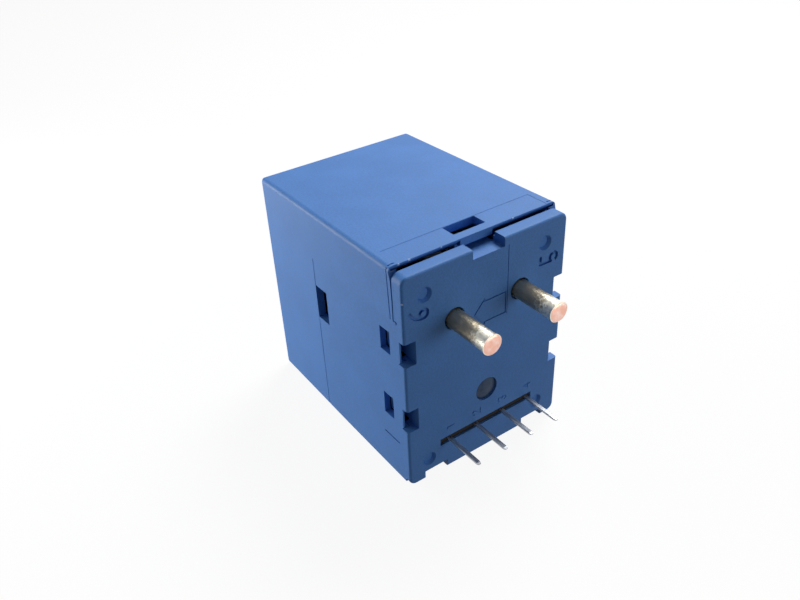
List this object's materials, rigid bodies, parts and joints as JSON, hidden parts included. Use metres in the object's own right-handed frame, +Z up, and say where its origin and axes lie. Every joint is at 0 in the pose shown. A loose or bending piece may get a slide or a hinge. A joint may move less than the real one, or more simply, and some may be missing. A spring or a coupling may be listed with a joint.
{
  "type": "hall effect current sensor",
  "caption": "Closed plastic case with thick round pins that carry the measured current and a row of thin signal pins, for soldering to a circuit board.",
  "frame": {"origin": "on the surface the case lies on, below the middle of the part's overall length and width", "axes": "+Z up with the case lying on its lower long side, +X the way the pins point, out of the face that sits on the circuit board, +Y to the right of that face for a viewer who looks at it"},
  "size_m": [0.035, 0.022, 0.0279],
  "materials": {
    "blue_plastic": "fine matt texture",
    "tinned_copper": "uneven tin, bare copper at the cut ends",
    "pin_metal": "dull tin",
    "grey_adhesive": "cured resin",
    "black_polymer": "moulded",
    "nickel_iron": "annealed sheet",
    "enamelled_wire": "clear enamel",
    "yellow_tape": "polyester film",
    "board_green": "solder resist",
    "capacitor_tan": "fired",
    "resistor_body": "glazed"
  },
  "bodies": {
    "root": {"housing_cover": "blue_plastic", "terminal_plate": "blue_plastic", "primary_conductor": "tinned_copper", "adhesive_plug": "grey_adhesive", "insulating_sleeve": "black_polymer", "pin_strip": "black_polymer", "core_front_stack": "nickel_iron", "core_rear_stack": "nickel_iron", "coil_bobbin": "black_polymer", "compensation_coil": "enamelled_wire", "coil_tape": "yellow_tape", "circuit_board": "board_green", "hall_element": "black_polymer", "amplifier_ic": "black_polymer", "driver_transistor_1": "black_polymer", "driver_transistor_2": "black_polymer", "supply_capacitor_1": "capacitor_tan", "supply_capacitor_2": "capacitor_tan", "clamp_diode_1": "black_polymer", "clamp_diode_2": "black_polymer", "chip_resistor_1": "resistor_body", "chip_resistor_2": "resistor_body", "chip_resistor_3": "resistor_body", "secondary_pin_1": "pin_metal", "secondary_pin_2": "pin_metal", "secondary_pin_3": "pin_metal", "secondary_pin_4": "pin_metal", "coil_terminal_1": "pin_metal", "coil_lead_1": "enamelled_wire", "coil_terminal_2": "pin_metal", "coil_lead_2": "enamelled_wire"}
  },
  "joints": []
}
